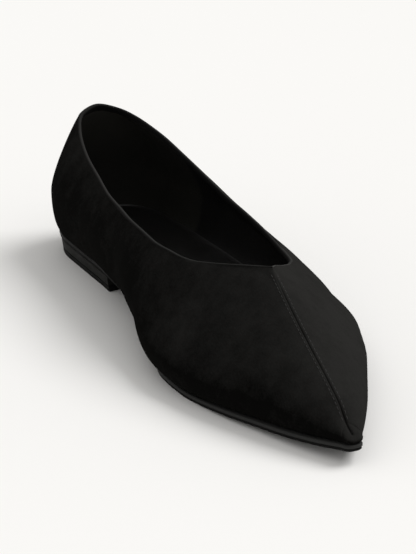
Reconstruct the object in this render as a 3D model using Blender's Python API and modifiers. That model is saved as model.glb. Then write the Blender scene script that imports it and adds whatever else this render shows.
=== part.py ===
"""A left-foot pointed flat shoe in black suede, at its real size in metres.

The toe points towards -Y, the heel towards +Y and the outer side of the foot towards
+X, and the floor is z = 0. The shape of the last is read from named sizes and short
tables of shares. Inside the functions a point of the last is (x, y, z), with y counted
from the back of the heel to the toe.
"""

from collections import namedtuple

import bmesh
import bpy
import numpy as np

# Driving sizes, for a women's size 38
LENGTH = 0.268
BALL_WIDTH = 0.077
HEEL_HEIGHT = 0.0074
TOE_SPRING = 0.0055
TOPLINE_HEIGHT = 0.0534
INSTEP_HEIGHT = 0.0469
SWELL = 0.009
BELLY_HEIGHT = 0.0185
HEEL_ROUND = 0.028
TOE_ROUND = 0.0035
WALL = 0.0018
SOLE_THICKNESS = 0.0026
SOLE_MARGIN = 0.0012
INSOLE_THICKNESS = 0.002
INSOLE_LENGTH = 0.252
HEEL_LENGTH = 0.074
HEEL_HOLLOW = 0.004
HEEL_INSET = 0.0006
HEEL_TAPER = 0.001
LIFT_THICKNESS = 0.0025
SEAM_WIDTH = 0.0022
SEAM_DEPTH = 0.0005
GAP = 0.0003

# How square the back of the heel and the tip of the toe are in plan, 2 being an ellipse
HEEL_SQUARENESS = 2.3
TOE_SQUARENESS = 2.4

# The sole's edge seen from above: half widths in shares of BALL_WIDTH
Outline = namedtuple("Outline", "along outer inner")
OUTLINE = (
    Outline(0.10, 0.33, 0.33),
    Outline(0.18, 0.36, 0.32),
    Outline(0.26, 0.38, 0.31),
    Outline(0.34, 0.40, 0.31),
    Outline(0.42, 0.43, 0.33),
    Outline(0.50, 0.47, 0.37),
    Outline(0.57, 0.52, 0.43),
    Outline(0.63, 0.53, 0.47),
    Outline(0.69, 0.49, 0.46),
    Outline(0.75, 0.42, 0.42),
    Outline(0.80, 0.34, 0.37),
    Outline(0.85, 0.26, 0.30),
    Outline(0.90, 0.18, 0.23),
    Outline(0.95, 0.09, 0.15),
    Outline(0.99, 0.01, 0.08),
)

# Height of the sole's underside: shares of HEEL_HEIGHT behind the ball, of TOE_SPRING ahead
Underside = namedtuple("Underside", "along heel toe")
UNDERSIDE = (
    Underside(0.00, 1.00, 0.00),
    Underside(0.24, 1.00, 0.00),
    Underside(0.33, 0.94, 0.00),
    Underside(0.44, 0.68, 0.00),
    Underside(0.53, 0.32, 0.00),
    Underside(0.60, 0.00, 0.00),
    Underside(0.70, 0.00, 0.00),
    Underside(0.80, 0.00, 0.26),
    Underside(0.90, 0.00, 0.50),
    Underside(1.00, 0.00, 1.00),
)

# The wall from the sole's edge upwards: how far it swells out in shares of SWELL, the
# height of its widest line in shares of BELLY_HEIGHT, and how it bends towards the top
Wall = namedtuple("Wall", "along outer_swell inner_swell belly shoulder slope crown")
WALLS = (
    Wall(0.00, 0.38, 0.38, 1.00, 0.23, 0.38, 0.17),
    Wall(0.25, 0.80, 0.82, 1.00, 0.24, 0.35, 0.22),
    Wall(0.48, 0.98, 1.00, 0.82, 0.26, 0.32, 0.26),
    Wall(0.62, 0.80, 0.84, 0.55, 0.18, 0.29, 0.27),
    Wall(0.74, 0.57, 0.54, 0.41, 0.20, 0.31, 0.19),
    Wall(0.86, 0.40, 0.26, 0.35, 0.36, 0.45, 0.15),
    Wall(1.00, 0.12, 0.12, 0.07, 0.45, 0.50, 0.16),
)

# The seam on the vamp from the throat to the toe: its shift to the outer side in shares of
# BALL_WIDTH, its height above the sole in shares of INSTEP_HEIGHT, and foot, the share of
# the sole's edge below it, counted from the heel
Seam = namedtuple("Seam", "foot along shift height")
SEAM = (
    Seam(0.74, 0.71, 0.00, 1.00),
    Seam(0.79, 0.76, -0.01, 0.82),
    Seam(0.84, 0.81, -0.02, 0.68),
    Seam(0.88, 0.86, -0.03, 0.54),
    Seam(0.92, 0.91, -0.03, 0.40),
    Seam(0.95, 0.95, -0.04, 0.25),
    Seam(0.98, 0.97, -0.04, 0.16),
    Seam(1.00, 0.99, -0.04, 0.07),
)

# The topline from the throat along the inner side, round the heel and back along the outer
# side: its reach to the outer side in shares of BALL_WIDTH, and its height above the sole in
# shares of a height that goes from INSTEP_HEIGHT at the throat to TOPLINE_HEIGHT at the heel
Topline = namedtuple("Topline", "foot along reach height")
TOPLINE = (
    Topline(0.72, 0.67, -0.11, 0.96),
    Topline(0.69, 0.64, -0.17, 0.92),
    Topline(0.65, 0.59, -0.25, 0.86),
    Topline(0.61, 0.55, -0.30, 0.83),
    Topline(0.55, 0.49, -0.33, 0.78),
    Topline(0.48, 0.41, -0.33, 0.74),
    Topline(0.40, 0.34, -0.31, 0.71),
    Topline(0.34, 0.28, -0.29, 0.70),
    Topline(0.27, 0.21, -0.26, 0.74),
    Topline(0.20, 0.14, -0.23, 0.79),
    Topline(0.13, 0.07, -0.18, 0.88),
    Topline(0.06, 0.03, -0.12, 0.97),
    Topline(0.00, 0.015, 0.00, 1.00),
    Topline(0.06, 0.03, 0.11, 0.98),
    Topline(0.13, 0.07, 0.18, 0.95),
    Topline(0.20, 0.14, 0.23, 0.90),
    Topline(0.28, 0.21, 0.27, 0.82),
    Topline(0.35, 0.28, 0.32, 0.71),
    Topline(0.41, 0.35, 0.36, 0.63),
    Topline(0.49, 0.43, 0.38, 0.61),
    Topline(0.57, 0.51, 0.37, 0.62),
    Topline(0.62, 0.57, 0.34, 0.67),
    Topline(0.66, 0.59, 0.30, 0.70),
    Topline(0.69, 0.62, 0.21, 0.77),
    Topline(0.72, 0.66, 0.10, 0.88),
)

# How finely the forms are cut into faces. The stations of a sole part are closer together
# over the last share of its length, where the edge turns fastest
HEEL_STEPS = 24
EDGE_STEPS = 110
TOE_STEPS = 12
TOPLINE_STEPS = 3
SEAM_STEPS = 4
LOWER_STEPS = 4
UPPER_STEPS = 8
SOLE_STATIONS = 64
HEEL_STATIONS = 24
TIP_STATIONS = 6
TIP_SHARE = 0.97
SOLE_STRIPS = 2
HEEL_STRIPS = 4

# Power of the fade of the seam's groove: below 1 it stays deep for most of the seam
GROOVE_FADE = 0.3
# Power with which the front of the heel bends in: it stays straight at the back
HOLLOW_POWER = 3
# Edges that turn by more than this angle, in radians, are shaded as sharp
SHARP_ANGLE = 0.7

OUTER, INNER = 1, -1
WELD = 1e-6


def smooth(known, values, at):
    """Monotone cubic through (known, values), read at the places in at."""
    known = np.asarray(known, float)
    values = np.asarray(values, float)
    step = np.diff(known)
    rise = np.diff(values) / step
    before, after = rise[:-1], rise[1:]
    near, far = step[1:] + 2 * step[:-1], 2 * step[1:] + step[:-1]
    turning = before * after <= 0
    weight = far / np.where(turning, 1.0, before) + near / np.where(turning, 1.0, after)
    inner_slope = np.where(turning, 0.0, (near + far) / np.where(turning, 1.0, weight))
    slope = np.concatenate([rise[:1], inner_slope, rise[-1:]])
    at = np.clip(at, known[0], known[-1])
    i = np.clip(np.searchsorted(known, at, side="right") - 1, 0, len(step) - 1)
    t = (at - known[i]) / step[i]
    start = (1 + 2 * t) * (1 - t) ** 2 * values[i] + t * (1 - t) ** 2 * step[i] * slope[i]
    end = t * t * (3 - 2 * t) * values[i + 1] - t * t * (1 - t) * step[i] * slope[i + 1]
    return start + end


def column(table, name):
    return np.array([getattr(row, name) for row in table])


def read(table, name, along):
    """A column of a table that is set out by its column along."""
    return smooth(column(table, "along"), column(table, name), along)


def underside(y):
    """Height of the sole's underside at y."""
    along = y / LENGTH
    return HEEL_HEIGHT * read(UNDERSIDE, "heel", along) + TOE_SPRING * read(UNDERSIDE, "toe", along)


def sole_top(y):
    return underside(y) + SOLE_THICKNESS


def half_width(side, y):
    name = "outer" if side == OUTER else "inner"
    return BALL_WIDTH * read(OUTLINE, name, y / LENGTH)


def trace_edge(side):
    """One side of the sole's edge, heel to toe: share of its length, points and outward normals."""
    heel_half = half_width(side, HEEL_ROUND)
    points = []
    for turn in np.linspace(0, np.pi / 2, HEEL_STEPS + 1):
        across, back = np.sin(turn), np.cos(turn)
        size = (across / heel_half) ** HEEL_SQUARENESS + (back / HEEL_ROUND) ** HEEL_SQUARENESS
        radius = size ** (-1 / HEEL_SQUARENESS)
        points.append((side * radius * across, HEEL_ROUND - radius * back))
    toe_start = LENGTH - TOE_ROUND
    for y in np.linspace(HEEL_ROUND, toe_start, EDGE_STEPS + 1)[1:]:
        points.append((side * half_width(side, y), y))
    middle = BALL_WIDTH * SEAM[-1].shift
    toe_half = abs(points[-1][0] - middle)
    for turn in np.linspace(0, np.pi / 2, TOE_STEPS + 1)[1:]:
        across, ahead = np.cos(turn), np.sin(turn)
        size = (across / toe_half) ** TOE_SQUARENESS + (ahead / TOE_ROUND) ** TOE_SQUARENESS
        radius = size ** (-1 / TOE_SQUARENESS)
        points.append((middle + side * radius * across, toe_start + radius * ahead))
    points = np.array(points)
    tangent = np.gradient(points, axis=0)
    normal = side * np.column_stack([tangent[:, 1], -tangent[:, 0]])
    normal[0] = (0, -1)
    normal[-1] = (0, 1)
    normal /= np.linalg.norm(normal, axis=1)[:, None]
    length = np.concatenate([[0], np.cumsum(np.linalg.norm(np.diff(points, axis=0), axis=1))])
    return length / length[-1], points, normal


EDGES = {side: trace_edge(side) for side in (OUTER, INNER)}


def edge(side, share, inset):
    """Points and outward normals of the sole's edge, moved inwards by inset."""
    shares, points, normals = EDGES[side]
    point = np.stack([np.interp(share, shares, points[:, k]) for k in (0, 1)], axis=-1)
    normal = np.stack([np.interp(share, shares, normals[:, k]) for k in (0, 1)], axis=-1)
    normal /= np.linalg.norm(normal, axis=-1)[:, None]
    return point - inset * normal, normal


def share_at(side, y):
    """Share of the sole's edge at which it has come as far as y."""
    shares, points, _ = EDGES[side]
    return np.interp(y, points[:, 1], shares)


def seam_line():
    """Foot shares and points of the seam from the throat to the toe."""
    row = np.arange(len(SEAM))
    at = np.linspace(0, row[-1], SEAM_STEPS * row[-1] + 1)
    foot, along, shift, height = (smooth(row, column(SEAM, name), at) for name in Seam._fields)
    y = LENGTH * along
    z = sole_top(y) + INSTEP_HEIGHT * height
    return foot, np.column_stack([BALL_WIDTH * shift, y, z])


def topline():
    """Foot shares and points of the topline, from the throat round the heel to the throat."""
    throat = Topline(SEAM[0].foot, SEAM[0].along, SEAM[0].shift, SEAM[0].height)
    rows = (throat, *TOPLINE, throat)
    row = np.arange(len(rows))
    at = np.linspace(0, row[-1], TOPLINE_STEPS * row[-1] + 1)
    foot, along, reach, height = (smooth(row, column(rows, name), at) for name in Topline._fields)
    y = LENGTH * along
    front = foot / throat.foot
    full = TOPLINE_HEIGHT + (INSTEP_HEIGHT - TOPLINE_HEIGHT) * front
    return foot, np.column_stack([BALL_WIDTH * reach, y, sole_top(y) + full * height])


def wall_columns(side, foot, top):
    """The upper's outer face: a column of points from the sole's edge to each point of top."""
    rim, outward = edge(side, foot, 0.0)
    base = rim - SOLE_MARGIN * outward
    sideways = np.column_stack([-outward[:, 1], outward[:, 0]])
    along = rim[:, 1] / LENGTH
    swell = SWELL * read(WALLS, "outer_swell" if side == OUTER else "inner_swell", along)
    belly = BELLY_HEIGHT * read(WALLS, "belly", along)
    shoulder, slope, crown = (read(WALLS, name, along) for name in ("shoulder", "slope", "crown"))
    floor = sole_top(base[:, 1]) + GAP
    widest = floor + belly
    rise = top[:, 2] - widest
    out_top = ((top[:, :2] - base) * outward).sum(axis=1)
    side_top = ((top[:, :2] - base) * sideways).sum(axis=1)
    rows = []
    for turn in np.linspace(0, np.pi / 2, LOWER_STEPS + 1)[:-1]:
        rows.append((swell * np.sin(turn), floor + belly * (1 - np.cos(turn)), 0 * foot))
    # The last row but one lies half a seam's width from the top
    last_leg = np.hypot(slope * (swell - out_top), crown * rise)
    border = np.clip(SEAM_WIDTH / 2 / (3 * last_leg), 0, 0.5 / UPPER_STEPS)
    for k in range(UPPER_STEPS + 1):
        t = k / UPPER_STEPS * (1 - border)
        rows.append(upper_curve(t, swell, out_top, slope, widest, rise, shoulder, crown, side_top))
    full = np.ones(len(foot))
    rows.append(upper_curve(full, swell, out_top, slope, widest, rise, shoulder, crown, side_top))
    columns = []
    for out, z, along_edge in rows:
        plan = base + outward * out[:, None] + sideways * along_edge[:, None]
        columns.append(np.column_stack([plan, z]))
    return np.array(columns)


def upper_curve(t, swell, out_top, slope, widest, rise, shoulder, crown, side_top):
    """Distance out, height and shift along the edge at t, from the widest line 0 to the top 1."""
    first, second, third, fourth = (1 - t) ** 3, 3 * t * (1 - t) ** 2, 3 * t * t * (1 - t), t**3
    bend = out_top + slope * (swell - out_top)
    out = (first + second) * swell + third * bend + fourth * out_top
    z = widest + rise * (second * shoulder + third * (1 - crown) + fourth)
    return out, z, side_top * t


def upper_grid():
    """Rows of points of the upper's outer face, from the toe along the inner side to the toe."""
    top_foot, top_points = topline()
    seam_foot, seam_points = seam_line()
    # The seam lies in a groove that fades out at the throat and at the toe
    fade = np.sin(np.linspace(0, np.pi, len(seam_foot))) ** GROOVE_FADE
    seam_points[:, 2] -= SEAM_DEPTH * fade
    back = len(top_foot) // 2
    halves = []
    for side, here in ((INNER, slice(back, None, -1)), (OUTER, slice(back, None))):
        foot = np.concatenate([top_foot[here], seam_foot[1:]])
        top = np.concatenate([top_points[here], seam_points[1:]])
        halves.append(wall_columns(side, foot, top))
    inner, outer = halves
    return np.concatenate([inner[:, ::-1], outer[:, 1:]], axis=1)


def in_world(point):
    return (point[0], -point[1], point[2])


def add_faces(mesh, grid, flip=False):
    """Adds a grid of points and the quads between them, and gives its vertices."""
    vertices = [[mesh.verts.new(in_world(point)) for point in row] for row in grid]
    for low, high in zip(vertices, vertices[1:]):
        for k in range(len(low) - 1):
            corners = (low[k], high[k], high[k + 1], low[k + 1])
            mesh.faces.new(corners[::-1] if flip else corners)
    return vertices


def finish_mesh(mesh, name, collection, material):
    """Welds the mesh, makes an object of it and puts it in the collection."""
    bmesh.ops.remove_doubles(mesh, verts=mesh.verts, dist=WELD)
    data = bpy.data.meshes.new(name)
    mesh.to_mesh(data)
    mesh.free()
    data.shade_smooth()
    data.set_sharp_from_angle(angle=SHARP_ANGLE)
    data.materials.append(material)
    made = bpy.data.objects.new(name, data)
    collection.objects.link(made)
    return made


def slab(name, top, bottom, collection, material):
    """A closed plate between two grids of stations that have the same layout."""
    mesh = bmesh.new()
    upper = add_faces(mesh, top)
    lower = add_faces(mesh, bottom, flip=True)
    rims = (
        (upper[0], lower[0]),
        (upper[-1][::-1], lower[-1][::-1]),
        ([row[-1] for row in upper], [row[-1] for row in lower]),
        ([row[0] for row in upper][::-1], [row[0] for row in lower][::-1]),
    )
    for above, below in rims:
        for k in range(len(above) - 1):
            mesh.faces.new((above[k], above[k + 1], below[k + 1], below[k]))
    return finish_mesh(mesh, name, collection, material)


def footprint(inset, reach, height, stations=SOLE_STATIONS, strips=SOLE_STRIPS, hollow=0.0):
    """Stations from the heel to reach, each a row of points from the inner to the outer edge."""
    steps = np.linspace(0, TIP_SHARE, stations + 1)
    steps = np.concatenate([steps, np.linspace(TIP_SHARE, 1, TIP_STATIONS + 1)[1:]])
    inner, _ = edge(INNER, steps * share_at(INNER, reach), inset)
    outer, _ = edge(OUTER, steps * share_at(OUTER, reach), inset)
    grid = []
    for station, left, right in zip(steps, inner, outer):
        row = []
        for across in np.linspace(0, 1, strips + 1):
            x, y = left + (right - left) * across
            dip = hollow * (1 - (2 * across - 1) ** 2) * station**HOLLOW_POWER
            row.append((x, y - dip, height(y)))
        grid.append(row)
    return grid


def make_upper(collection, material):
    mesh = bmesh.new()
    add_faces(mesh, upper_grid())
    upper = finish_mesh(mesh, "upper", collection, material)
    shell = upper.modifiers.new("wall", "SOLIDIFY")
    shell.thickness = WALL
    shell.offset = -1
    shell.use_even_offset = True
    return upper


def make_outsole(collection, material):
    top = footprint(0.0, LENGTH, sole_top)
    bottom = footprint(0.0, LENGTH, underside)
    return slab("outsole", top, bottom, collection, material)


def make_insole(collection, material):
    """The sock inside the upper, clear of the wall where it turns in over the sole."""
    inset = SOLE_MARGIN + WALL + GAP
    top = footprint(inset, INSOLE_LENGTH, lambda y: sole_top(y) + GAP + INSOLE_THICKNESS)
    bottom = footprint(inset, INSOLE_LENGTH, lambda y: sole_top(y) + GAP)
    return slab("insole", top, bottom, collection, material)


def heel_slab(name, high, low, collection, material):
    """A layer of the heel between the heights high and low, a little smaller further down."""
    grids = []
    for level in (high, low):
        inset = HEEL_INSET + HEEL_TAPER * (1 - level / HEEL_HEIGHT)
        flat = lambda y, z=level: z
        grids.append(footprint(inset, HEEL_LENGTH, flat, HEEL_STATIONS, HEEL_STRIPS, HEEL_HOLLOW))
    return slab(name, grids[0], grids[1], collection, material)


def make_heel_block(collection, material):
    return heel_slab("heel_block", HEEL_HEIGHT - GAP, LIFT_THICKNESS + GAP, collection, material)


def make_heel_top_lift(collection, material):
    return heel_slab("heel_top_lift", LIFT_THICKNESS, 0.0, collection, material)


def make_material(name, colour, roughness):
    material = bpy.data.materials.new(name)
    material.use_nodes = True
    surface = material.node_tree.nodes["Principled BSDF"]
    surface.inputs["Base Color"].default_value = (*colour, 1.0)
    surface.inputs["Roughness"].default_value = roughness
    surface.inputs["Metallic"].default_value = 0.0
    material.diffuse_color = (*colour, 1.0)
    return material


def centre_on_floor(parts, root):
    """Moves the shoe so that the middle of its box stands over the origin."""
    graph = bpy.context.evaluated_depsgraph_get()
    corners = []
    for part in parts:
        mesh = part.evaluated_get(graph).to_mesh()
        points = np.empty(3 * len(mesh.vertices))
        mesh.vertices.foreach_get("co", points)
        corners.append(points.reshape(-1, 3))
        part.evaluated_get(graph).to_mesh_clear()
    corners = np.concatenate(corners)
    middle = (corners.min(axis=0) + corners.max(axis=0)) / 2
    root.location = (-middle[0], -middle[1], 0.0)
    for part in parts:
        part.parent = root


def build():
    for old in list(bpy.data.objects):
        bpy.data.objects.remove(old, do_unlink=True)
    shoe = bpy.data.collections.new("pointed_flat_shoe")
    bpy.context.scene.collection.children.link(shoe)
    suede = make_material("black_suede", (0.012, 0.012, 0.012), 0.95)
    sock = make_material("black_sock_leather", (0.008, 0.008, 0.008), 0.45)
    sole = make_material("dark_sole_edge", (0.030, 0.029, 0.028), 0.55)
    heel = make_material("dark_heel_stack", (0.020, 0.019, 0.018), 0.55)
    lift = make_material("black_top_lift", (0.008, 0.008, 0.008), 0.70)
    parts = [
        make_upper(shoe, suede),
        make_insole(shoe, sock),
        make_outsole(shoe, sole),
        make_heel_block(shoe, heel),
        make_heel_top_lift(shoe, lift),
    ]
    root = bpy.data.objects.new("shoe_root", None)
    shoe.objects.link(root)
    bpy.context.view_layer.update()
    centre_on_floor(parts, root)


build()
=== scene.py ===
"""Dresses the left-foot pointed flat in black suede and sets it on a pale studio floor.

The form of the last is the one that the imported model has: the same named sizes and tables
of shares. Points of the last are (x, y, z) with y counted from the back of the heel.
"""

import math
from collections import namedtuple

import bmesh
import bpy
import numpy as np
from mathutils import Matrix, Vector


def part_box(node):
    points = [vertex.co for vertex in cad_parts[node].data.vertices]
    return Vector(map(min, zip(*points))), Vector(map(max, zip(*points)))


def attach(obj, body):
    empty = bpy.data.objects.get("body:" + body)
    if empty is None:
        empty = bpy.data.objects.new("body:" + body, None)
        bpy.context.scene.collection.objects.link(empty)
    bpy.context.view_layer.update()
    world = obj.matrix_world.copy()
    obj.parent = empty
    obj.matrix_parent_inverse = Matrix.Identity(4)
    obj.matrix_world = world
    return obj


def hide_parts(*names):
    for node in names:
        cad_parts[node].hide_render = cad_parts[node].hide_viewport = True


bl_info = {
    "name": "Pointed suede flat",
    "version": (1, 0, 0),
    "blender": (4, 5, 0),
    "location": "3D View > Sidebar > Flat",
    "description": "Builds the suede, lining, sock, sole and heel of a pointed flat shoe",
    "category": "Object",
}

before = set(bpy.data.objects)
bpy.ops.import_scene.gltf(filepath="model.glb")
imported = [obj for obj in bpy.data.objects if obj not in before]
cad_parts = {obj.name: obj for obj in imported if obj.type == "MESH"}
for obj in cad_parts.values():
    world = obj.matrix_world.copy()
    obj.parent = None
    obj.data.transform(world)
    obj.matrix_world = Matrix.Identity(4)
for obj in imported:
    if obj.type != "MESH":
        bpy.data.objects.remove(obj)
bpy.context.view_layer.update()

MM = 0.001
WELD = 1e-7
SHARP_ANGLE = 50
OUTER, INNER = 1, -1
# The suede gets a painted highlight where it faces this way, towards the key light, and painted
# shade where it faces away
SUEDE_LIT_FACING = (0.45, -0.25, 0.85)
# Stations at each end of a flat layer, and the shares of its length that they take up
END_STATIONS = 13
HEEL_END, TOE_END = 0.03, 0.04
# Stations between them, and the points across a layer's top and underside
SOLE_STATIONS, HEEL_STATIONS = 150, 60
LAYER_ACROSS = 7
# Draw-out of the sole's inner front edge, and the shares of the edge where it comes and goes
LEDGE = 1.3 * MM
LEDGE_AT = (0.52, 0.66, 0.95, 1.0)
# World y between which the sole's edge with its painted highlight gives way to the dark one
EDGE_HIGHLIGHT_FROM, EDGE_HIGHLIGHT_TO = -0.02, 0.01
# Half of the floor's side, and where the key light comes from: aside, behind and above
FLOOR_HALF = 4.0
FLOOR_CORNERS = ((-1, -1), (1, -1), (1, 1), (-1, 1))
KEY_FROM = (0.75, 0.28, 0.95)
# World y where the lighter lining inside the quarters begins
REAR_LINING_FROM, REAR_LINING_TO = 0.080, 0.083
# The collar fold gets a painted highlight where it faces this way, towards the key light
FOLD_LIT_FACING = (0.70, -0.10, 0.70)
BODY = "root"



def table(kind, *rows):
    return tuple(kind(*row) for row in rows)


Outline = namedtuple("Outline", "along outer inner")
OUTLINE = table(
    Outline,
    (0.10, 0.33, 0.33),
    (0.18, 0.36, 0.32),
    (0.26, 0.38, 0.31),
    (0.34, 0.40, 0.31),
    (0.42, 0.43, 0.33),
    (0.50, 0.47, 0.37),
    (0.57, 0.52, 0.43),
    (0.63, 0.53, 0.47),
    (0.69, 0.49, 0.46),
    (0.75, 0.42, 0.42),
    (0.80, 0.34, 0.37),
    (0.85, 0.26, 0.30),
    (0.90, 0.18, 0.23),
    (0.95, 0.09, 0.15),
    (0.99, 0.01, 0.08),
)

Underside = namedtuple("Underside", "along heel toe")
UNDERSIDE = table(
    Underside,
    (0.00, 1.00, 0.00),
    (0.24, 1.00, 0.00),
    (0.33, 0.94, 0.00),
    (0.44, 0.68, 0.00),
    (0.53, 0.32, 0.00),
    (0.60, 0.00, 0.00),
    (0.70, 0.00, 0.00),
    (0.80, 0.00, 0.26),
    (0.90, 0.00, 0.50),
    (1.00, 0.00, 1.00),
)

Wall = namedtuple("Wall", "along outer_swell inner_swell belly shoulder slope crown")
WALLS = table(
    Wall,
    (0.00, 0.38, 0.38, 1.00, 0.23, 0.38, 0.17),
    (0.25, 0.80, 0.82, 1.00, 0.24, 0.35, 0.22),
    (0.48, 0.98, 1.00, 0.82, 0.26, 0.32, 0.26),
    (0.62, 0.80, 0.84, 0.55, 0.18, 0.29, 0.27),
    (0.74, 0.57, 0.54, 0.41, 0.20, 0.31, 0.19),
    (0.86, 0.40, 0.26, 0.35, 0.36, 0.45, 0.15),
    (1.00, 0.12, 0.12, 0.07, 0.45, 0.50, 0.16),
)

Seam = namedtuple("Seam", "foot along shift height")
SEAM = table(
    Seam,
    (0.74, 0.71, 0.00, 1.00),
    (0.79, 0.76, -0.01, 0.82),
    (0.84, 0.81, -0.02, 0.68),
    (0.88, 0.86, -0.03, 0.54),
    (0.92, 0.91, -0.03, 0.40),
    (0.95, 0.95, -0.04, 0.25),
    (0.98, 0.97, -0.04, 0.16),
    (1.00, 0.99, -0.04, 0.07),
)

Topline = namedtuple("Topline", "foot along reach height")
TOPLINE = table(
    Topline,
    (0.72, 0.67, -0.11, 0.96),
    (0.69, 0.64, -0.17, 0.92),
    (0.65, 0.59, -0.25, 0.86),
    (0.61, 0.55, -0.30, 0.83),
    (0.55, 0.49, -0.33, 0.78),
    (0.48, 0.41, -0.33, 0.74),
    (0.40, 0.34, -0.31, 0.71),
    (0.34, 0.28, -0.29, 0.70),
    (0.27, 0.21, -0.26, 0.74),
    (0.20, 0.14, -0.23, 0.79),
    (0.13, 0.07, -0.18, 0.88),
    (0.06, 0.03, -0.12, 0.97),
    (0.00, 0.015, 0.00, 1.00),
    (0.06, 0.03, 0.11, 0.98),
    (0.13, 0.07, 0.18, 0.95),
    (0.20, 0.14, 0.23, 0.90),
    (0.28, 0.21, 0.27, 0.82),
    (0.35, 0.28, 0.32, 0.71),
    (0.41, 0.35, 0.36, 0.63),
    (0.49, 0.43, 0.38, 0.61),
    (0.57, 0.51, 0.37, 0.62),
    (0.62, 0.57, 0.34, 0.67),
    (0.66, 0.59, 0.30, 0.70),
    (0.69, 0.62, 0.21, 0.77),
    (0.72, 0.66, 0.10, 0.88),
)

# Soft creases in the suede: where each begins and ends, along the shoe in shares of its
# length and up from the sole in shares of the instep's height, with depth and half width
Crease = namedtuple("Crease", "side along_from up_from along_to up_to depth width")
CREASES = table(
    Crease,
    (INNER, 0.57, 0.60, 0.63, 0.20, 0.8 * MM, 8 * MM),
    (INNER, 0.50, 0.58, 0.52, 0.22, 0.5 * MM, 8 * MM),
    (INNER, 0.66, 0.66, 0.72, 0.30, 0.8 * MM, 6 * MM),
    (INNER, 0.36, 0.50, 0.40, 0.20, 1.1 * MM, 9 * MM),
    (OUTER, 0.55, 0.50, 0.61, 0.18, 0.5 * MM, 7 * MM),
    (OUTER, 0.63, 0.62, 0.70, 0.28, 0.4 * MM, 7 * MM),
    (OUTER, 0.42, 0.48, 0.46, 0.20, 1.1 * MM, 9 * MM),
    (OUTER, 0.20, 0.60, 0.24, 0.22, 0.8 * MM, 9 * MM),
    (INNER, 0.18, 0.58, 0.22, 0.22, 0.8 * MM, 9 * MM),
)


def metres(name, description, default):
    return bpy.props.FloatProperty(
        name=name, description=description, default=default, unit="LENGTH", precision=4
    )


def tint(name, description, default):
    return bpy.props.FloatVectorProperty(
        name=name, description=description, default=default, subtype="COLOR", min=0, max=1
    )


class FLAT_PG_last(bpy.types.PropertyGroup):
    """Sizes of the last and of the pieces around it."""

    length: metres("Length", "Sole from the back of the heel to the tip", 0.268)
    ball_width: metres("Ball width", "Sole across the ball of the foot", 0.077)
    heel_height: metres("Heel height", "Underside of the sole above the floor", 0.0074)
    toe_spring: metres("Toe spring", "Tip of the sole above the floor", 0.0055)
    topline_height: metres("Topline height", "Back of the topline above the sole", 0.0534)
    instep_height: metres("Instep height", "Throat above the sole", 0.0469)
    swell: metres("Swell", "Most that the wall stands out past the sole", 0.009)
    belly_height: metres("Belly height", "Widest line of the wall above the sole", 0.0185)
    heel_round: metres("Heel round", "Length of the heel's round end", 0.028)
    toe_round: metres("Toe round", "Length of the toe's round end", 0.0035)
    wall: metres("Wall", "Suede and lining together", 0.0018)
    sole_thickness: metres("Sole thickness", "Thickness of the outsole", 0.0026)
    sole_margin: metres("Sole margin", "Sole's edge beyond the upper's foot", 0.0012)
    insole_thickness: metres("Insole thickness", "Thickness of the sock", 0.002)
    insole_length: metres("Insole length", "Heel to the front end of the sock", 0.252)
    heel_length: metres("Heel length", "Length of the heel", 0.074)
    heel_hollow: metres("Heel hollow", "Bend of the heel's front face", 0.004)
    heel_inset: metres("Heel inset", "Heel's edge inside the sole's edge", 0.0006)
    heel_taper: metres("Heel taper", "More of that inset at the floor", 0.001)
    lift_thickness: metres("Lift thickness", "Wearing piece under the heel", 0.0025)
    seam_width: metres("Seam width", "Width of the groove on the vamp", 0.0022)
    seam_depth: metres("Seam depth", "Depth of the groove on the vamp", 0.0005)
    gap: metres("Gap", "Space between pieces that meet", 0.0003)
    suede_thickness: metres("Suede thickness", "Suede without its lining", 0.0011)
    fold_outside: metres("Fold outside", "Collar fold on the outside", 0.0010)
    fold_inside: metres("Fold inside", "Collar fold on the lining", 0.0045)
    fold_thickness: metres("Fold thickness", "Suede of the collar fold", 0.0004)
    stitch_length: metres("Stitch length", "One stitch of the vamp seam", 0.0015)
    stitch_pitch: metres("Stitch pitch", "From one stitch to the next", 0.0022)
    stitch_offset: metres("Stitch offset", "Stitch row beside the seam", 0.0015)
    thread: metres("Thread", "Thickness of the sewing thread", 0.00035)


class FLAT_PG_finish(bpy.types.PropertyGroup):
    """Colours of the pieces."""

    # The suede runs from the first colour in painted shade and dark patches to the second in
    # painted highlight and brushed patches
    suede: tint("Suede", "Suede in painted shade and dark patches", (0.0030, 0.0029, 0.0027))
    suede_lit_and_brushed: tint("Suede, lit and brushed", "Suede in painted highlight and brushed patches", (0.0192, 0.0188, 0.0178))
    suede_sheen: tint("Suede sheen", "Light caught by the nap", (0.75, 0.74, 0.70))
    # Colour of the painted highlight on the collar fold
    highlit_fold: tint("Collar fold", "Painted highlight on the folded edge", (0.030, 0.0295, 0.028))
    lining: tint("Lining", "Leather inside the upper", (0.0045, 0.0043, 0.0041))
    rear_lining: tint("Lining at the back", "Lighter lining inside the heel", (0.0165, 0.0160, 0.0135))
    sock: tint("Sock", "Leather on the insole", (0.0055, 0.0053, 0.0050))
    thread: tint("Thread", "Sewing thread", (0.0125, 0.0122, 0.0115))
    # Colour of the painted highlight on the sole's edge
    sole_edge_highlight: tint("Sole edge", "Painted highlight on the sole's edge", (0.024, 0.024, 0.023))
    sole_under: tint("Sole underside", "Tread of the sole", (0.0060, 0.0059, 0.0056))
    heel: tint("Heel", "Side of the heel", (0.0056, 0.0055, 0.0046))
    lift: tint("Top lift", "Wearing piece", (0.0034, 0.0034, 0.0032))


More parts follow.
